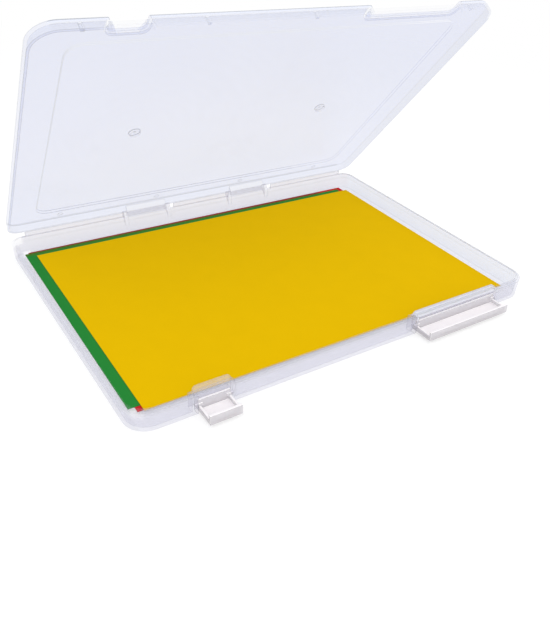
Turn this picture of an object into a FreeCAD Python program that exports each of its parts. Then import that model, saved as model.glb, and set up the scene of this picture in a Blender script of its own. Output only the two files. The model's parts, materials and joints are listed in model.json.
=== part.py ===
import FreeCAD, Part
import os

# Clear flat paper case with a hinged lid and two flip latches, in millimetres.
# X runs along the hinge, Y from the latches to the hinge, Z up from the underside.

# Outline of the closed case
case_width = 322.0
case_depth = 240.0
front_corner_radius = 16.0
back_corner_radius = 10.0
smallest_round = 0.6

# Base tray
base_height = 15.0
base_wall = 1.8
floor_thickness = 1.8
base_draft = 1.0
bottom_round = 2.0
floor_round = 1.2
rim_depth = 3.8
rim_bevel = 1.6
tongue_height = 0.9
tongue_wall = 1.4
back_lip_height = 4.6
back_lip_end_inset = 12.0
back_lip_gap = 1.5
rim_clearance = 0.3

# Lid
lid_height = 7.2
lid_wall = 1.6
lid_plate = 1.6
lid_draft = 0.6
lid_edge_round = 1.8
lid_inner_round = 0.8
seam_gap = 0.3
panel_side_inset = 22.0
panel_front_inset = 21.0
panel_back_inset = 16.0
panel_corner_radius = 10.0
panel_step = 0.7
gate_spacing = 152.0
gate_middle = -6.0
gate_radius = 4.0
gate_depth = 0.4
gate_nub_radius = 0.8
ejector_spacing = 80.0
ejector_count = 4
ejector_radius = 2.0
ejector_depth = 0.3
ejector_inset = 8.0
rib_end_inset = 26.5
middle_ribs = (-65.0, 6.0)
rib_width = 2.0
rib_depth = 2.0

# Front latches: width of each and the way from its middle to the nearer end of the case
narrow_latch_width = 21.0
narrow_latch_inset = 52.0
wide_latch_width = 77.0
wide_latch_inset = 74.0
latch_wall = 1.4
latch_standoff = 0.5
latch_side_gap = 0.4
latch_top_gap = 0.2
latch_edge_round = 0.7
lip_reach = 5.0
lip_gap = 0.2
bead_width = 0.9
bead_height = 0.35
groove_gap = 0.25
latch_apron = 2.0
heel_reach = 6.4
boss_radius = 1.6
boss_length = 2.6
pivot_height = 6.6
pivot_inset = 2.6
pin_radius = 1.0
pin_length = 1.8
pin_end_gap = 0.3
running_clearance = 0.06

# Bays and tabs of the base, notches of the lid, all at the latches
swing_clearance = 0.4
ear_thickness = 3.0
narrow_tab_height = 3.8
wide_tab_height = 1.9
tab_corner_radius = 3.0
tab_overhang = 2.0
notch_setback = 2.6
notch_depth = 11.0
notch_corner_radius = 3.5
shelf_thickness = 1.4

# Hinge
hinge_spacing = 97.0
hinge_length = 41.0
hinge_end_inset = 16.0
hinge_ear_width = 3.0
hinge_ear_radius = 2.6
hinge_ear_drop = 9.0
rod_radius = 1.5
sleeve_radius = 2.9
sleeve_end_gap = 0.4
sleeve_back_gap = 0.4
sleeve_slot_width = 2.3
sleeve_arm_height = 5.5

# Paper sheets from the floor up: length, width, the middle of each and its turn in degrees
sheet_thickness = 0.4
sheets = {
    "red_sheet": (299.0, 217.0, 0.0, 7.4, 0.0),
    "green_sheet": (297.0, 210.0, -4.5, 7.7, -0.3),
    "yellow_sheet": (297.0, 210.0, 2.9, 1.8, -0.2),
}

# Angles of the open case: the lid from shut, each latch from shut
lid_open_angle = 48.0
latch_open_angle = 90.0

# Places that follow from the sizes
cut_margin = 5.0
match_tolerance = 0.001
front = -case_depth / 2
back = case_depth / 2
lid_bottom = base_height + seam_gap
lid_top = lid_bottom + lid_height
lid_ceiling = lid_top - lid_plate
rim_start = base_height - rim_depth
rim_full = rim_start + rim_bevel
tongue_outer = lid_wall + rim_clearance
tongue_inner = tongue_outer + tongue_wall
tongue_top = base_height + tongue_height
hinge_y = back + sleeve_radius + sleeve_back_gap
hinge_z = base_height + seam_gap / 2
hinge_centres = (-hinge_spacing / 2, hinge_spacing / 2)
hinge_run = case_width - 2 * hinge_end_inset
rib_run = case_width / 2 - rib_end_inset
rib_places = (-rib_run, *middle_ribs, rib_run)
latches = {
    "narrow_latch": (narrow_latch_inset - case_width / 2, narrow_latch_width),
    "wide_latch": (case_width / 2 - wide_latch_inset, wide_latch_width),
}
tab_tops = {
    "narrow_latch": base_height + narrow_tab_height,
    "wide_latch": base_height + wide_tab_height,
}
pivot_y = front + pivot_inset
bay_depth = max(pivot_inset + boss_radius + latch_apron, heel_reach) + swing_clearance
heel_swing = ((heel_reach - pivot_inset) ** 2 + (latch_wall / 2) ** 2) ** 0.5
bay_roof = pivot_height + heel_swing + swing_clearance
rim_setback = notch_setback + tongue_inner
latch_top = lid_top - latch_top_gap
lip_bottom = latch_top - latch_wall
shelf_top = lip_bottom - lip_gap
shelf_bottom = shelf_top - shelf_thickness
along_x = FreeCAD.Vector(1, 0, 0)


def box(low_x, high_x, low_y, high_y, low_z, high_z):
    corner = FreeCAD.Vector(low_x, low_y, low_z)
    return Part.makeBox(high_x - low_x, high_y - low_y, high_z - low_z, corner)


def bar(radius, low_x, high_x, y, z):
    # Round bar along X
    return Part.makeCylinder(radius, high_x - low_x, FreeCAD.Vector(low_x, y, z), along_x)


def section(points, low_x, high_x):
    # Prism along X from an outline of (y, z) points
    corners = [FreeCAD.Vector(low_x, y, z) for y, z in points]
    face = Part.Face(Part.makePolygon(corners + corners[:1]))
    return face.extrude(FreeCAD.Vector(high_x - low_x, 0, 0))


def rounded_outline(left, right, near, far, near_radius, far_radius, height):
    # Rectangle whose two near corners and two far corners each have their own radius
    middles = [
        (right - near_radius, near + near_radius, near_radius, 1, -1),
        (right - far_radius, far - far_radius, far_radius, 1, 1),
        (left + far_radius, far - far_radius, far_radius, -1, 1),
        (left + near_radius, near + near_radius, near_radius, -1, -1),
    ]
    halfway = 0.5 ** 0.5
    arcs = []
    for x, y, radius, side_x, side_y in middles:
        beside = FreeCAD.Vector(x + side_x * radius, y, height)
        between = FreeCAD.Vector(x + side_x * radius * halfway, y + side_y * radius * halfway, height)
        beyond = FreeCAD.Vector(x, y + side_y * radius, height)
        turns_out = side_x * side_y > 0
        first = beside if turns_out else beyond
        last = beyond if turns_out else beside
        arcs.append(Part.Arc(first, between, last))
    edges = []
    for number, arc in enumerate(arcs):
        following = arcs[(number + 1) % len(arcs)]
        edges.append(arc.toShape())
        edges.append(Part.LineSegment(arc.EndPoint, following.StartPoint).toShape())
    return Part.Wire(edges)


def case_outline(inset, height):
    # Outline of the case moved inwards, at one height
    half = case_width / 2 - inset
    near_radius = max(front_corner_radius - inset, smallest_round)
    far_radius = max(back_corner_radius - inset, smallest_round)
    return rounded_outline(-half, half, front + inset, back - inset, near_radius, far_radius, height)


def loft(outlines):
    return Part.makeLoft(outlines, True, True)


def prism(outline, length):
    return Part.Face(outline).extrude(FreeCAD.Vector(0, 0, length))


def edges_at(solid, height):
    # Edges that lie in one level plane
    return [edge for edge in solid.Edges
            if max(abs(edge.BoundBox.ZMin - height), abs(edge.BoundBox.ZMax - height)) < match_tolerance]


def base_inset(height):
    # How far the drafted outside of the base stands in from the rim
    return base_draft * (1 - height / base_height)


def base_shell():
    solid = loft([case_outline(base_draft, 0), case_outline(0, base_height)])
    return solid.makeFillet(bottom_round, edges_at(solid, 0))


def base_cavity():
    solid = loft([
        case_outline(base_inset(floor_thickness) + base_wall, floor_thickness),
        case_outline(base_inset(rim_start) + base_wall, rim_start),
        case_outline(tongue_inner, rim_full),
        case_outline(tongue_inner, tongue_top + cut_margin),
    ])
    return solid.makeFillet(floor_round, edges_at(solid, floor_thickness))


def bay_half_width(width):
    return width / 2 + latch_side_gap


def add_bay(tray, shell, middle, width, tab_top):
    # Bay for one latch: a deep pocket round its pins, under a stretch of rim that is set back
    half = bay_half_width(width)
    cheek = half + ear_thickness
    bay_back = front + bay_depth
    rim_back = front + rim_setback
    pocket = box(middle - cheek, middle + cheek, front, bay_back + base_wall, 0, bay_roof + base_wall)
    rim = box(middle - cheek, middle + cheek, front, rim_back, 0, base_height)
    tray = tray.fuse([pocket.common(shell), rim.common(shell)])
    relief = half + lid_wall + rim_clearance
    tray = tray.cut(box(middle - relief, middle + relief, front - cut_margin, rim_back,
                        base_height, tongue_top + cut_margin))
    tray = tray.cut(box(middle - half, middle + half, front - cut_margin, front + notch_setback,
                        -cut_margin, tongue_top + cut_margin))
    tray = tray.cut(box(middle - half, middle + half, front - cut_margin, bay_back, -cut_margin, bay_roof))
    tray = tray.fuse(tab(middle, width / 2 + tab_overhang, rim_back, tab_top))
    hole = half + pin_length - latch_side_gap + pin_end_gap
    return tray.cut(bar(pin_radius + running_clearance, middle - hole, middle + hole, pivot_y, pivot_height))


def tab(middle, half, far, top):
    # Upright tab with rounded top corners, a raised stretch of the tongue behind the lid's notch
    plate = box(middle - half, middle + half, far - tongue_wall, far, rim_full, top)
    corners = [edge for edge in edges_at(plate, top) if edge.BoundBox.XLength < match_tolerance]
    return plate.makeFillet(tab_corner_radius, corners)


def hinge_ear(low_x):
    # Bracket on the back wall that holds one end of a hinge rod
    slope = hinge_ear_radius * 0.5 ** 0.5
    high_x = low_x + hinge_ear_width
    root = back - base_wall / 2
    web = section([
        (root, hinge_z - hinge_ear_drop),
        (hinge_y + slope, hinge_z - slope),
        (hinge_y, hinge_z),
        (root, base_height),
    ], low_x, high_x)
    return web.fuse(bar(hinge_ear_radius, low_x, high_x, hinge_y, hinge_z))


def back_lips():
    # Raised stretches of the tongue along the back, on both sides of each hinge, thinner at the top
    stops = [back_lip_end_inset - case_width / 2]
    for middle in hinge_centres:
        stops.append(middle - hinge_length / 2 - back_lip_gap)
        stops.append(middle + hinge_length / 2 + back_lip_gap)
    stops.append(case_width / 2 - back_lip_end_inset)
    near = back - tongue_inner
    far = back - tongue_outer
    top = base_height + back_lip_height
    profile = [
        (near, rim_full),
        (far, rim_full),
        (far, base_height),
        (far - lid_draft, top),
        (near, top),
    ]
    return [section(profile, low_x, high_x) for low_x, high_x in zip(stops[::2], stops[1::2])]


def make_base_tray():
    shell = base_shell()
    tongue = prism(case_outline(tongue_outer, rim_full), tongue_top - rim_full)
    tray = shell.fuse(tongue).cut(base_cavity())
    tray = tray.cut(box(-hinge_run / 2, hinge_run / 2, back - tongue_inner, back + cut_margin,
                        base_height, tongue_top + cut_margin))
    tray = tray.fuse(back_lips())
    for name, (middle, width) in latches.items():
        tray = add_bay(tray, shell, middle, width, tab_tops[name])
    for middle in hinge_centres:
        start = middle - hinge_length / 2
        end = middle + hinge_length / 2
        tray = tray.fuse([hinge_ear(start), hinge_ear(end - hinge_ear_width)])
        tray = tray.fuse(bar(rod_radius, start, end, hinge_y, hinge_z))
    return tray.removeSplitter()


def lid_shell():
    solid = loft([case_outline(0, lid_bottom), case_outline(lid_draft, lid_top)])
    return solid.makeFillet(lid_edge_round, edges_at(solid, lid_top))


def lid_cavity():
    solid = loft([
        case_outline(lid_wall, lid_bottom - cut_margin),
        case_outline(lid_wall, lid_bottom),
        case_outline(lid_wall + lid_draft, lid_ceiling),
    ])
    return solid.makeFillet(lid_inner_round, edges_at(solid, lid_ceiling))


def panel_outline(grow, height):
    half = case_width / 2 - panel_side_inset + grow
    near = front + panel_front_inset - grow
    far = back - panel_back_inset + grow
    radius = panel_corner_radius + grow
    return rounded_outline(-half, half, near, far, radius, radius, height)


def add_panel(lid):
    # Panel stepped down into the top plate, at the same thickness as the plate round it
    lid = lid.fuse(prism(panel_outline(panel_step, lid_ceiling - panel_step), lid_plate))
    return lid.cut(prism(panel_outline(0, lid_top - panel_step), cut_margin))


def notch_outline(grow, half, middle, height):
    # Notch seen from above: open at the front, round at its two inner corners
    radius = notch_corner_radius + grow
    near = front - cut_margin
    return rounded_outline(middle - half - grow, middle + half + grow, near, front + notch_depth + grow,
                           smallest_round, radius, height)


def add_notch(lid, shell, middle, width):
    # Notch for one latch: the skirt is set back and the top plate steps down to a shelf
    half = bay_half_width(width)
    set_back = box(middle - half - lid_wall, middle + half + lid_wall, front,
                   front + notch_setback + lid_wall, lid_bottom, lid_top)
    step = prism(notch_outline(lid_wall, half, middle, shelf_bottom), lid_top - shelf_bottom)
    lid = lid.fuse([set_back.common(shell), step.common(shell)])
    lid = lid.cut(box(middle - half, middle + half, front - cut_margin, front + notch_setback,
                      lid_bottom - cut_margin, lid_top + cut_margin))
    lid = lid.cut(prism(notch_outline(0, half, middle, shelf_top), lid_top - shelf_top + cut_margin))
    groove_near = front + lip_reach - bead_width - groove_gap
    groove_far = front + lip_reach + groove_gap
    return lid.cut(box(middle - half, middle + half, groove_near, groove_far,
                       lip_bottom - bead_height - groove_gap, lid_top))


def add_marks(lid):
    # Gate marks in the middle of the panel, with a small nub each, and ejector marks along the back
    face = lid_top - panel_step
    for x in (gate_middle - gate_spacing / 2, gate_middle + gate_spacing / 2):
        floor = FreeCAD.Vector(x, 0, face - gate_depth)
        lid = lid.cut(Part.makeCylinder(gate_radius, cut_margin, floor))
        lid = lid.fuse(Part.makeCylinder(gate_nub_radius, gate_depth, floor))
    for number in range(ejector_count):
        x = (number - (ejector_count - 1) / 2) * ejector_spacing
        spot = FreeCAD.Vector(x, back - ejector_inset, lid_ceiling - cut_margin)
        lid = lid.cut(Part.makeCylinder(ejector_radius, cut_margin + ejector_depth, spot))
    return lid


def locating_rib(x):
    # Short upright rib inside the front skirt, above the tongue
    near = front + lid_wall / 2
    return box(x - rib_width / 2, x + rib_width / 2, near, front + lid_wall + rib_depth,
               tongue_top + rim_clearance, lid_ceiling + lid_plate / 2)


def hinge_sleeve(middle):
    # Clip sleeve round one hinge rod, open below when the lid is shut
    half = hinge_length / 2 - hinge_ear_width - sleeve_end_gap
    low_x = middle - half
    high_x = middle + half
    root = back - lid_wall / 2
    arm = section([
        (root, lid_bottom),
        (root, lid_bottom + sleeve_arm_height),
        (hinge_y, hinge_z + sleeve_radius),
        (hinge_y, lid_bottom),
    ], low_x, high_x)
    solid = bar(sleeve_radius, low_x, high_x, hinge_y, hinge_z).fuse(arm)
    solid = solid.cut(bar(rod_radius + running_clearance, low_x, high_x, hinge_y, hinge_z))
    return solid.cut(box(low_x, high_x, hinge_y - sleeve_slot_width / 2, hinge_y + sleeve_slot_width / 2,
                         hinge_z - sleeve_radius - cut_margin, hinge_z))


def make_lid():
    # Built shut, then turned open about the hinge
    shell = lid_shell()
    lid = add_panel(shell.cut(lid_cavity()))
    for middle, width in latches.values():
        lid = add_notch(lid, shell, middle, width)
    lid = lid.fuse([locating_rib(x) for x in rib_places])
    lid = lid.fuse([hinge_sleeve(middle) for middle in hinge_centres])
    lid = add_marks(lid).removeSplitter()
    lid.rotate(FreeCAD.Vector(0, hinge_y, hinge_z), along_x, -lid_open_angle)
    return lid


def make_latch(middle, width):
    # Shallow tray built shut, then turned open about its pins: a plate with a hooked lip along its top,
    # a heel along its pins, low end walls, and a boss round each pin
    left = middle - width / 2
    right = middle + width / 2
    outside = front - latch_standoff - latch_wall
    inside = outside + latch_wall
    lip_end = front + lip_reach
    heel_end = front + heel_reach
    heel_bottom = pivot_height - latch_wall / 2
    heel_top = pivot_height + latch_wall / 2
    apron_bottom = pivot_height - boss_radius - latch_apron
    channel = section([
        (outside, apron_bottom),
        (outside, latch_top),
        (lip_end, latch_top),
        (lip_end, lip_bottom - bead_height),
        (lip_end - bead_width, lip_bottom - bead_height),
        (lip_end - bead_width, lip_bottom),
        (inside, lip_bottom),
        (inside, heel_top),
        (heel_end, heel_top),
        (heel_end, heel_bottom),
        (inside, heel_bottom),
        (inside, apron_bottom),
    ], left, right)
    rim = [edge for edge in channel.Edges if abs(edge.BoundBox.YMax - outside) < match_tolerance]
    latch = channel.makeFillet(latch_edge_round, rim)
    end_reach = front + notch_setback - latch_side_gap
    for low_x in (left, right - latch_wall):
        latch = latch.fuse(box(low_x, low_x + latch_wall, inside - latch_wall / 2, end_reach,
                               pivot_height, lip_bottom + latch_wall / 2))
    for low_x in (left, right - boss_length):
        latch = latch.fuse(bar(boss_radius, low_x, low_x + boss_length, pivot_y, pivot_height))
    for low_x in (left - pin_length, right - boss_length):
        latch = latch.fuse(bar(pin_radius, low_x, low_x + pin_length + boss_length, pivot_y, pivot_height))
    latch = latch.removeSplitter()
    latch.rotate(FreeCAD.Vector(0, pivot_y, pivot_height), along_x, latch_open_angle)
    return latch


def make_sheet(number, length, width, x, y, turn):
    bottom = floor_thickness + number * sheet_thickness
    sheet = box(-length / 2, length / 2, -width / 2, width / 2, bottom, bottom + sheet_thickness)
    sheet.rotate(FreeCAD.Vector(0, 0, 0), FreeCAD.Vector(0, 0, 1), turn)
    sheet.translate(FreeCAD.Vector(x, y, 0))
    return sheet


def make_parts():
    parts = {"base_tray": make_base_tray(), "lid": make_lid()}
    for name, (middle, width) in latches.items():
        parts[name] = make_latch(middle, width)
    for number, (name, place) in enumerate(sheets.items()):
        parts[name] = make_sheet(number, *place)
    return parts


os.makedirs("parts", exist_ok=True)
for name, shape in make_parts().items():
    solid = shape.Solids[0]
    print(name, len(shape.Solids), shape.isValid(), round(shape.Volume))
    solid.exportStep("parts/" + name + ".step")
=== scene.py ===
import bmesh
import bpy
import json
import math
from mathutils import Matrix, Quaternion, Vector


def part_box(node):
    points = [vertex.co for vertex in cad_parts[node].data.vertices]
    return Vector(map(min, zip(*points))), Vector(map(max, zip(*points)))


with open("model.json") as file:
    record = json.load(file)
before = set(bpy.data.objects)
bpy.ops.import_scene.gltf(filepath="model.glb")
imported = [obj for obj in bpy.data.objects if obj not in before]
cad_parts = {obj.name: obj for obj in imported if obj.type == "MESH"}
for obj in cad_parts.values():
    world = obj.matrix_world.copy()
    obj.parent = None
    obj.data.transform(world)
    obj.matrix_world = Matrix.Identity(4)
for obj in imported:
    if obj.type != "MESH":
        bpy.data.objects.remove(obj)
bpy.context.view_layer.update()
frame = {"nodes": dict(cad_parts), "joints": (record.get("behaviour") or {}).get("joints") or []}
nodes = frame["nodes"]
joints = {joint["name"]: joint for joint in frame["joints"]}
scene = bpy.context.scene
print("frame:", ", ".join(sorted(nodes)))


class Wire:  # a shader socket that can stand in a Python expression
    def __init__(self, finish, socket):
        self.finish = finish
        self.socket = socket

    def maths(self, operation, first, second=0.0):
        return self.finish.node("ShaderNodeMath", {"operation": operation}, {0: first, 1: second})

    def __add__(self, other):
        return self.maths("ADD", self, other)

    def __radd__(self, other):
        return self.maths("ADD", other, self)

    def __sub__(self, other):
        return self.maths("SUBTRACT", self, other)

    def __rsub__(self, other):
        return self.maths("SUBTRACT", other, self)

    def __mul__(self, other):
        return self.maths("MULTIPLY", self, other)

    def __rmul__(self, other):
        return self.maths("MULTIPLY", other, self)

    def __abs__(self):
        return self.maths("ABSOLUTE", self)


class Finish:  # one material, or the world, and its nodes
    def __init__(self, owner):
        self.owner = owner
        owner.use_nodes = True
        self.tree = owner.node_tree
        self.tree.nodes.clear()

    def node(self, kind, settings=None, sockets=None, out=0):
        made = self.tree.nodes.new(kind)
        for key, value in (settings or {}).items():
            setattr(made, key, value)
        for key, value in (sockets or {}).items():
            if isinstance(value, Wire):
                self.tree.links.new(value.socket, made.inputs[key])
            else:
                made.inputs[key].default_value = value
        return Wire(self, made.outputs[out])

    def object(self):
        return self.node("ShaderNodeTexCoord", out="Object")

    def facing(self):  # the piece's own normal, which turns with it
        return self.node("ShaderNodeTexCoord", out="Normal")

    def normal(self):  # the normal in the world
        return self.node("ShaderNodeNewGeometry", out="Normal")

    def split(self, vector, axis):
        return self.node("ShaderNodeSeparateXYZ", None, {0: vector}, axis)

    def stretched(self, vector, scale):
        return self.node("ShaderNodeVectorMath", {"operation": "MULTIPLY"}, {0: vector, 1: scale})

    def noise(self, vector, scale, detail, rough=0.5):
        sockets = {"Vector": vector, "Scale": scale, "Detail": detail, "Roughness": rough}
        return self.node("ShaderNodeTexNoise", None, sockets, "Fac")

    def fade(self, value, start, end):  # 0 at the start, 1 at the end, whichever is the larger
        sockets = {"Value": value, "From Min": start, "From Max": end}
        return self.node("ShaderNodeMapRange", {"interpolation_type": "SMOOTHSTEP"}, sockets)

    def distance(self, vector, point):
        return self.node("ShaderNodeVectorMath", {"operation": "DISTANCE"}, {0: vector, 1: point}, "Value")

    def smaller(self, first, second):
        return self.node("ShaderNodeMath", {"operation": "MINIMUM"}, {0: first, 1: second})

    def wave(self, value):
        return self.node("ShaderNodeMath", {"operation": "SINE"}, {0: value})

    def blend(self, factor, first, second):  # between two colours
        sockets = {"Factor": factor, 6: first, 7: second}
        return self.node("ShaderNodeMix", {"data_type": "RGBA"}, sockets, 2)

    def rounded(self, radius, samples=6):  # the normal with its sharp edges eased
        return self.node("ShaderNodeBevel", {"samples": samples}, {"Radius": radius})

    def edge(self, eased):  # 0 on flat stretches, rising where the eased normal leaves the face
        sockets = {0: eased, 1: self.normal()}
        return 1 - self.node("ShaderNodeVectorMath", {"operation": "DOT_PRODUCT"}, sockets, "Value")

    def bump(self, height, depth, strength, normal=None):
        sockets = {"Height": height, "Distance": depth, "Strength": strength}
        if normal:
            sockets["Normal"] = normal
        return self.node("ShaderNodeBump", None, sockets)

    def surface(self, shader):
        isWorld = isinstance(self.owner, bpy.types.World)
        output = self.tree.nodes.new("ShaderNodeOutputWorld" if isWorld else "ShaderNodeOutputMaterial")
        self.tree.links.new(shader.socket, output.inputs["Surface"])
        return self.owner


def linear(*colour):  # a colour as a picture shows it, 0 to 255, to shader values
    shares = [part / 255 for part in colour]
    return tuple(((share + 0.055) / 1.055) ** 2.4 if share > 0.04 else share / 12.92 for share in shares)


def solid(colour):
    return (*colour, 1.0)


def tinted(fin, colour):
    return fin.node("ShaderNodeBsdfTransparent", None, {"Color": solid(colour)})


def mixed(fin, share, first, second):
    return fin.node("ShaderNodeMixShader", None, {0: share, 1: first, 2: second})


def dress(name, material):
    piece = nodes[name]
    piece.data.materials.clear()
    piece.data.materials.append(material)
    print("finish:", name, "in", material.name)


# clear mouldings: polypropylene with a lavender cast and a little haze; along its edges more haze and
# painted shade, a grey line that stands for the dark line a clear edge shows
clearCase = {
    "flat": (0.50, 0.90),  # how far a face looks up or down where a wall turns into a plate
    "curveStart": (0.15, 0.40),  # and on a rounded edge
    "curveEnd": (0.97, 0.75),
    "hinge": (0.1196, 0.1206),  # where the hinge begins
    "hingeLine": 0.35,  # how strong the edge lines are on it
    "hingeBody": (0.88, 0.89, 0.94),
    "haze": 0.09,
    "edgeHaze": 0.34,
    "edgeRadius": 0.0009,
    "edgeLine": (0.01, 0.20),
    "edgeBlend": (0.00, 0.12),
    "cloudSize": 22,
    "cloudDetail": 4.0,
    "cloudSwing": 0.03,
    "cloudRough": 0.2,
    "satinSize": 1500,
    "satinDetail": 2.0,
    "satinRough": 0.05,
    "satinDepth": 0.00004,
    "satinBump": 0.35,
    "roughness": 0.22,
    "refraction": 1.49,
}
clearTray = {
    "plateThrough": (0.952, 0.953, 0.973),  # what one face of the floor lets pass
    "wallThrough": (0.946, 0.940, 0.958),  # and of a wall
    "darkerWalls": (  # walls tinted darker: axis, start, end and what they let pass
        ("X", 0.152, 0.155, (0.918, 0.926, 0.954)),
        ("Y", 0.112, 0.115, (0.912, 0.908, 0.934)),
    ),
    "hingeThrough": (0.932, 0.928, 0.950),  # and of the hinge brackets
    "hingeClear": 0.0,  # how much haze they lose
    # painted light: the walls' haze is lighter than the floor's, to make up for the less light that falls
    # on upright faces
    "plateBody": (0.72, 0.74, 0.82),
    "wallBody": (0.88, 0.90, 0.97),
    "paintedEdgeShade": (0.58, 0.60, 0.66),  # painted shade along an edge, a grey line
    "curveLine": 0.1,  # how strong that painted shade is on a rounded edge
}
clearLid = {  # its plate is bluer than the tray, and its haze is painted bluer still against the warm light the yellow paper throws up onto it
    "plateThrough": (0.938, 0.945, 0.985),
    "wallThrough": (0.988, 0.990, 0.995),
    "darkerWalls": (
        ("X", 0.152, 0.155, (0.918, 0.928, 0.968)),
        ("Y", 0.112, 0.115, (0.911, 0.919, 0.957)),
        ("Y", -0.1188, -0.1192, (0.958, 0.960, 0.966)),
    ),
    "hingeThrough": (0.975, 0.975, 0.985),  # thin hinge sleeves
    "hingeClear": 0.4,
    # painted light: bluer than the plastic, to cancel the warm light from the paper below
    "plateBody": (0.50, 0.60, 0.98),
    "wallBody": (0.72, 0.76, 0.88),
    "paintedEdgeShade": (0.32, 0.35, 0.42),
    "curveLine": 0.4,
}


def clearPlastic(name, tone, place, marks):
    look = clearCase
    fin = Finish(bpy.data.materials.new(name))
    where, upright = place(fin)
    lines, milk, cleared, even = marks(fin, where)
    normal = fin.rounded(look["edgeRadius"])
    tilt = abs(upright)
    flat = fin.fade(tilt, *look["flat"])
    curve = fin.fade(tilt, *look["curveStart"]) * fin.fade(tilt, *look["curveEnd"])
    hinge = fin.fade(fin.split(where, "Y"), *look["hinge"])
    cleared = cleared + (1 - flat) * even
    # painted shade: along sharp and rounded edges the haze rises and turns grey
    edge = fin.fade(fin.edge(normal), *look["edgeLine"]) + curve * tone["curveLine"]
    edge = edge * lines * (1 - hinge * (1 - look["hingeLine"]))
    cloud = fin.noise(where, look["cloudSize"], look["cloudDetail"]) - 0.5
    satin = fin.noise(where, look["satinSize"], look["satinDetail"])
    haze = look["haze"] + cloud * look["cloudSwing"] + edge * look["edgeHaze"] + milk
    haze = haze * (1 - cleared) * (1 - hinge * tone["hingeClear"])
    clear = tinted(fin, tone["wallThrough"])
    for axis, start, end, through in tone["darkerWalls"]:
        side = fin.fade(fin.split(where, axis), start, end)
        clear = mixed(fin, side, clear, tinted(fin, through))
    clear = mixed(fin, flat, clear, tinted(fin, tone["plateThrough"]))
    clear = mixed(fin, hinge, clear, tinted(fin, tone["hingeThrough"]))
    # clear through where cleared: thin parts, and on the tray a painted lift of shadow
    clear = mixed(fin, cleared, clear, tinted(fin, (1, 1, 1)))
    body = fin.blend(flat, solid(tone["wallBody"]), solid(tone["plateBody"]))
    body = fin.blend(hinge, body, solid(look["hingeBody"]))
    plastic = fin.node("ShaderNodeBsdfPrincipled", None, {
        "Base Color": fin.blend(fin.fade(edge, *look["edgeBlend"]), body, solid(tone["paintedEdgeShade"])),
        "Roughness": look["roughness"] + cloud * look["cloudRough"] + satin * look["satinRough"],
        "IOR": look["refraction"],
        "Normal": fin.bump(satin, look["satinDepth"], look["satinBump"], normal),
    })
    return fin.surface(mixed(fin, haze, clear, plastic))


def asItLies(fin):  # a place on the piece, and how far its face looks up
    return fin.object(), fin.split(fin.facing(), "Z")


def asIfShut(fin):  # the same on the lid, turned back down onto the tray
    hinge = joints["lid_hinge"]
    angle = math.radians(hinge["range_deg"][0])

    def turned(vector, centre):
        sockets = {"Vector": vector, "Center": centre, "Axis": hinge["axis"], "Angle": angle}
        return fin.node("ShaderNodeVectorRotate", {"rotation_type": "AXIS_ANGLE"}, sockets)

    return turned(fin.object(), hinge["pos_m"]), fin.split(turned(fin.facing(), (0, 0, 0)), "Z")


lidMarks = {  # moulding marks on the shut lid, in metres: a pair is where one begins and where it is full
    "gates": ((-0.082, 0.0), (0.070, 0.0)),
    "gateHeight": 0.0218,
    "gateRadius": 0.004,
    "gateRing": (0.0006, 0.0),
    "ringHaze": 0.32,
    "blush": (0.0046, 0.0),
    "blushHaze": 0.05,
    "flowPitch": 0.009,
    "flowSwing": 0.002,
    "wobbleSize": 30,
    "wobbleDetail": 2.0,
    "wobble": 0.02,
    "shelves": ((-0.109, 0.0107), (0.087, 0.0397)),  # middle and half width of the thin shelf in each notch
    "shelfFront": -0.121,
    "shelfBack": (-0.1092, -0.1096),
    "shelfTaper": 0.4,
    "shelfEdge": 0.0004,
    "shelfClear": 0.85,
    "panelMiddle": 0.0025,
    "panelHalf": (0.1425, 0.1055),
    "panelEdge": 0.003,
    "panelLine": 0.45,  # how strong the line round the panel is
    "panelFade": 0.40,  # and how much of that it loses towards the wide latch
    "panelFront": (-0.090, -0.100),
    "panelFrontLine": 0.3,  # what is left of the line along the front
    "panelEven": (0.080, 0.120),  # where the panel's step no longer shows
    "skirtFront": (-0.107, -0.108),  # fainter lines along the front skirt
    "skirtSide": (-0.130, -0.118),
    "skirtLine": 0.3,
    "ribFacing": (0.6, 0.9),  # its ribs and the ends of the notches, clear
    "ribReach": (0.150, 0.146),
    "ribClear": 0.8,
    "lip": (0.0160, 0.0156),  # its clear lower edge
    "lipClear": 0.9,
    "cornerFront": (-0.1183, -0.1188),  # its milky outer corner
    "cornerHeight": (0.0195, 0.0203),
    "cornerMilk": 0.55,
    "rightSide": (0.150, 0.154),
    "rightLine": 0.15,  # how strong the lines of the right wall are
}


def gateMarks(fin, where):  # a ring and a blush round each gate, and flow marks going out from it
    marks = lidMarks
    gates = [fin.distance(where, (*gate, marks["gateHeight"])) for gate in marks["gates"]]
    closest = fin.smaller(*gates)
    ring = fin.fade(abs(closest - marks["gateRadius"]), *marks["gateRing"])
    blush = fin.fade(closest, *marks["blush"])
    wobble = fin.noise(where, marks["wobbleSize"], marks["wobbleDetail"]) * marks["wobble"]
    flow = fin.wave((closest + wobble) * (2 * math.pi / marks["flowPitch"]))
    return ring * marks["ringHaze"] + blush * marks["blushHaze"] + flow * marks["flowSwing"]


def shelfMask(fin, along, inward):  # 1 on the shelves, which are narrower towards the back
    marks = lidMarks
    front = fin.fade(inward, *marks["shelfBack"])
    depth = inward - marks["shelfFront"]
    mask = 0
    for middle, half in marks["shelves"]:
        aside = abs(along - middle) + depth * marks["shelfTaper"]
        mask = mask + front * fin.fade(aside, half, half - marks["shelfEdge"])
    return mask


def panelMask(fin, along, inward):  # 1 on the stepped panel in the middle of the plate
    marks = lidMarks
    mask = 1
    for offset, half in zip((along, inward - marks["panelMiddle"]), marks["panelHalf"]):
        mask = mask * fin.fade(abs(offset), half + marks["panelEdge"], half)
    return mask


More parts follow.
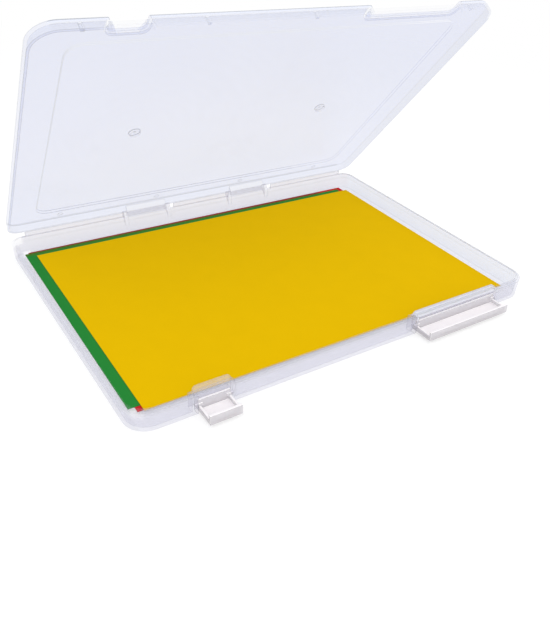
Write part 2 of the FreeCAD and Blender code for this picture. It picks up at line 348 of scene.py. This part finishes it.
def lidThickness(fin, where):  # how strong the edge lines are, and what is milky, clear or without a step
    marks = lidMarks
    along, inward, height = [fin.split(where, axis) for axis in "XYZ"]
    panel = panelMask(fin, along, inward)
    line = marks["panelLine"] - fin.fade(along, 0.0, marks["panelHalf"][0]) * marks["panelFade"]
    line = line * (1 - fin.fade(inward, *marks["panelFront"]) * (1 - marks["panelFrontLine"]))
    right = fin.fade(along, *marks["rightSide"])
    front = fin.fade(inward, *marks["skirtFront"])
    skirt = front * fin.fade(along, *marks["skirtSide"])
    lines = 1 - panel * (1 - line) - right * (1 - marks["rightLine"])
    lines = lines * (1 - skirt * (1 - marks["skirtLine"]))
    corner = fin.fade(inward, *marks["cornerFront"]) * fin.fade(height, *marks["cornerHeight"])
    milk = gateMarks(fin, where) + corner * marks["cornerMilk"]
    shelf = shelfMask(fin, along, inward)
    lip = skirt * fin.fade(height, *marks["lip"])
    cleared = shelf * marks["shelfClear"] + lip * (1 - shelf) * marks["lipClear"]
    sideways = abs(fin.split(fin.facing(), "X"))
    ribs = front * fin.fade(sideways, *marks["ribFacing"]) * fin.fade(abs(along), *marks["ribReach"])
    cleared = cleared + ribs * (1 - cleared) * marks["ribClear"]
    even = panel * fin.fade(along, *marks["panelEven"])
    return lines, milk, cleared, even


trayMarks = {  # the same on the tray
    "tabs": ((-0.109, 0.0125, 0.10), (0.087, 0.0405, 0.65)),  # middle, half width and how milky
    "tabBack": (-0.1115, -0.1119),
    "tabBottom": (0.0124, 0.0128),
    "tabEdge": 0.0004,
    "tabLine": 0.2,  # how strong the edge lines of a tab are
    "rimHeight": (0.0085, 0.0105),  # the rim on the left, made clearer, a painted lift of the shade seen through it
    "rimSide": (-0.150, -0.153),
    "rimClear": 0.7,
    "low": (0.0030, 0.0024),
    "stripInside": (-0.1465, -0.1475),  # the floor between that wall and the sheets, made clearer too, a painted lift of the shadow seen there
    "stripOutside": (-0.1540, -0.1515),
    "stripFront": (-0.106, -0.096),
    "stripClear": 0.9,
    "foot": (-0.1535, -0.1555),  # and the foot of the wall, milkier
    "footMilk": 0.06,
}


def trayThickness(fin, where):
    marks = trayMarks
    along, inward, height = [fin.split(where, axis) for axis in "XYZ"]
    front = fin.fade(inward, *marks["tabBack"]) * fin.fade(height, *marks["tabBottom"])
    lines = 1
    milk = 0
    for middle, half, milkiness in marks["tabs"]:
        tab = front * fin.fade(abs(along - middle), half, half - marks["tabEdge"])
        lines = lines - tab * (1 - marks["tabLine"])
        milk = milk + tab * milkiness
    # painted light: the left rim and the floor strip are cleared to lift the shadow seen through them
    rim = fin.fade(height, *marks["rimHeight"]) * fin.fade(along, *marks["rimSide"])
    low = fin.fade(height, *marks["low"])
    strip = low * fin.fade(along, *marks["stripInside"]) * fin.fade(along, *marks["stripOutside"])
    strip = strip * fin.fade(inward, *marks["stripFront"])
    milk = milk + low * fin.fade(along, *marks["foot"]) * marks["footMilk"]
    return lines, milk, rim * marks["rimClear"] + strip * marks["stripClear"], 0


dress("base_tray", clearPlastic("clearTray", clearTray, asItLies, trayThickness))
dress("lid", clearPlastic("clearLid", clearLid, asIfShut, lidThickness))

# latches: the same plastic, milkier; upright walls painted greyer than the top plate, a painted shade, and
# edges painted white, a painted highlight
milkyLatch = {
    "plate": linear(252, 248, 250),
    # painted shade: the colour of the upright walls
    "wall": linear(230, 227, 231),
    # painted highlight: the colour along the edges
    "edge": linear(255, 255, 255),
    "plateOpacity": 0.97,
    "wallOpacity": 0.55,
    "edgeOpacity": 0.3,
    "edgeRadius": 0.0005,
    "edgeLine": (0.02, 0.14),
    "cloudSize": 90,
    "cloudDetail": 3.0,
    "cloudSwing": 0.08,
    "cloudRough": 0.2,
    "satinSize": 1800,
    "satinDetail": 2.0,
    "satinDepth": 0.00004,
    "satinBump": 0.3,
    "roughness": 0.3,
}


def milkyPlastic():
    look = milkyLatch
    fin = Finish(bpy.data.materials.new("milkyLatch"))
    where, upright = asItLies(fin)
    normal = fin.rounded(look["edgeRadius"])
    edge = fin.fade(fin.edge(normal), *look["edgeLine"])
    cloud = fin.noise(where, look["cloudSize"], look["cloudDetail"]) - 0.5
    satin = fin.noise(where, look["satinSize"], look["satinDetail"])
    flat = fin.fade(abs(upright), *clearCase["flat"])
    # painted shade by facing: upright walls greyer than the top plate
    face = fin.blend(flat, solid(look["wall"]), solid(look["plate"]))
    opacity = look["wallOpacity"] + flat * (look["plateOpacity"] - look["wallOpacity"])
    shader = fin.node("ShaderNodeBsdfPrincipled", None, {
        # painted highlight: white along the edges
        "Base Color": fin.blend(edge, face, solid(look["edge"])),
        "Roughness": look["roughness"] + cloud * look["cloudRough"],
        "IOR": clearCase["refraction"],
        "Alpha": opacity + cloud * look["cloudSwing"] + edge * look["edgeOpacity"],
        "Normal": fin.bump(satin, look["satinDepth"], look["satinBump"], normal),
    })
    return fin.surface(shader)


milky = milkyPlastic()
dress("narrow_latch", milky)
dress("wide_latch", milky)

# coloured paper, with its layers along the edges
paper = {
    "yellow_sheet": linear(228, 184, 0),
    "green_sheet": linear(40, 132, 54),
    "red_sheet": linear(196, 40, 44),
    "grain": (1.0, 0.22, 1.0),  # the fibres lie along Y
    "fibres": ((1900, 3.0, 0.6), (1330, 2.0, 0.4)),  # size, detail and share
    "fibreNoise": 0.6,
    "fibreRough": 0.12,
    "fibreDepth": 0.00003,
    "fibreBump": 0.25,
    "cloudSize": 60,
    "cloudDetail": 4.0,
    "mottle": 0.05,
    "layerPitch": 0.0001,
    "layerTone": 0.12,
    "roughness": 0.82,
    "shine": 0.03,
    "backTone": {  # in the back wall's shade
        "green_sheet": linear(80, 112, 36),
        "red_sheet": linear(122, 54, 50),
    },
    "backDepth": (0.0040, 0.0032),
    "backEnd": (0.126, 0.122),
    "backShare": 0.7,
}


def colouredPaper(name):
    fin = Finish(bpy.data.materials.new(name.replace("_sheet", "Paper")))
    where = fin.object()
    grain = fin.stretched(where, paper["grain"])
    fibres = 0
    for size, detail, share in paper["fibres"]:
        fibres = fibres + fin.noise(grain, size, detail, paper["fibreNoise"]) * share
    cloud = fin.noise(where, paper["cloudSize"], paper["cloudDetail"])
    tone = paper["mottle"] * (fibres + cloud - 1)
    flat = abs(fin.split(fin.normal(), "Z"))
    layers = fin.wave(fin.split(where, "Z") * (2 * math.pi / paper["layerPitch"]))
    layers = layers * (1 - flat) * paper["layerTone"]
    colour = solid(paper[name])
    if name in paper["backTone"]:
        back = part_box(name)[1][1]
        shade = fin.fade(fin.split(where, "Y"), *[back - depth for depth in paper["backDepth"]])
        shade = shade * fin.fade(fin.split(where, "X"), *paper["backEnd"])
        colour = fin.blend(shade * paper["backShare"], colour, solid(paper["backTone"][name]))
    hue = fin.node("ShaderNodeHueSaturation", None, {"Color": colour, "Value": 1 + tone + layers})
    shader = fin.node("ShaderNodeBsdfPrincipled", None, {
        "Base Color": hue,
        "Roughness": paper["roughness"] + fibres * paper["fibreRough"],
        "Specular IOR Level": paper["shine"],
        "Normal": fin.bump(fibres, paper["fibreDepth"], paper["fibreBump"]),
    })
    return fin.surface(shader)


for sheet in ("red_sheet", "green_sheet", "yellow_sheet"):
    dress(sheet, colouredPaper(sheet))

# plain white studio
studio = {
    "floorDrop": 0.0003,
    "floorReach": 8.0,
    "floorCorners": 96,
    "floorLit": 0.66,  # its colour to the light
    "floorSeen": 0.46,  # and as it is seen, with the lift added
    "floorLift": 0.57,
    "floorFade": (0.30, 0.95),  # where it goes over into plain white
    "skyLevel": 0.80,
    "clearFaces": 32,  # how many a ray may pass
    "lamps": {  # power in watts, place, width
        "key": (9.0, (-0.6, -0.8, 1.75), 1.4),
        "side": (3.0, (1.3, -0.5, 1.0), 1.6),
        "front": (6.0, (-0.5, -1.6, 0.6), 1.6),
    },
}


def seenRays(fin):  # 1 where the camera, a mirror or glass looks, 0 for light
    rays = ("Is Camera Ray", "Is Glossy Ray", "Is Transmission Ray")
    camera, mirror, glass = [fin.node("ShaderNodeLightPath", out=ray) for ray in rays]
    return fin.smaller(camera + mirror + glass, 1.0)


def makeFloor():
    mesh = bmesh.new()
    corners = studio["floorCorners"]
    bmesh.ops.create_circle(mesh, cap_ends=True, segments=corners, radius=studio["floorReach"])
    data = bpy.data.meshes.new("floor")
    mesh.to_mesh(data)
    mesh.free()
    floor = bpy.data.objects.new("floor", data)
    floor.location.z = -studio["floorDrop"]
    scene.collection.objects.link(floor)
    fin = Finish(bpy.data.materials.new("paleFloor"))
    seen = seenRays(fin)
    tone = studio["floorLit"] + seen * (studio["floorSeen"] - studio["floorLit"])
    shade = fin.node("ShaderNodeBsdfDiffuse", None, {"Color": tone})
    lift = fin.node("ShaderNodeEmission", None, {"Strength": seen * studio["floorLift"]})
    near = fin.node("ShaderNodeAddShader", None, {0: shade, 1: lift})
    white = fin.node("ShaderNodeEmission", None, {"Strength": seen})
    away = fin.fade(fin.distance(fin.object(), (0, 0, 0)), *studio["floorFade"])
    data.materials.append(fin.surface(mixed(fin, away * seen, near, white)))


def makeSky():
    world = bpy.data.worlds.new("studioSky")
    scene.world = world
    fin = Finish(world)
    level = studio["skyLevel"] + seenRays(fin) * (1 - studio["skyLevel"])
    fin.surface(fin.node("ShaderNodeBackground", None, {"Color": (1, 1, 1, 1), "Strength": level}))


def makeLamp(name, power, place, size):
    lamp = bpy.data.lights.new(name, "AREA")
    lamp.shape = "DISK"
    lamp.size = size
    lamp.energy = power
    holder = bpy.data.objects.new(name, lamp)
    holder.location = place
    holder.rotation_euler = (-Vector(place)).to_track_quat("-Z", "Y").to_euler()
    scene.collection.objects.link(holder)


makeFloor()
makeSky()
for name, setting in studio["lamps"].items():
    makeLamp(name, *setting)
scene.view_settings.view_transform = "Standard"
scene.cycles.transparent_max_bounces = studio["clearFaces"]
print("studio: floor, sky and", len(studio["lamps"]), "lamps")

# camera, from the lines of the case in the photograph
photoView = {
    "picture": (550, 634),
    "place": (-0.2492, -0.4020, 0.2729),
    "heading": 38.26,  # degrees, from +Y towards +X
    "dip": 33.77,
    "roll": 5.07,
    "focal": 692.1,  # pixels
    "axis": (333.8, 325.6),  # the pixel straight ahead
    "sensor": 36,
    "nearest": 0.01,
}


def makeCamera():
    view = photoView
    wide, high = view["picture"]
    heading, dip, roll = [math.radians(view[turn]) for turn in ("heading", "dip", "roll")]
    level = math.cos(dip)
    ahead = Vector((math.sin(heading) * level, math.cos(heading) * level, -math.sin(dip)))
    data = bpy.data.cameras.new("photoCamera")
    data.sensor_width = view["sensor"]
    data.lens = view["focal"] * view["sensor"] / high
    data.shift_x = (wide / 2 - view["axis"][0]) / high
    data.shift_y = (view["axis"][1] - high / 2) / high
    data.clip_start = view["nearest"]
    camera = bpy.data.objects.new("photoCamera", data)
    camera.location = view["place"]
    camera.rotation_mode = "QUATERNION"
    camera.rotation_quaternion = ahead.to_track_quat("-Z", "Y") @ Quaternion((0, 0, 1), roll)
    scene.collection.objects.link(camera)
    scene.camera = camera
    print("camera: lens", round(data.lens, 1), "shift", round(data.shift_x, 3), round(data.shift_y, 3))


makeCamera()
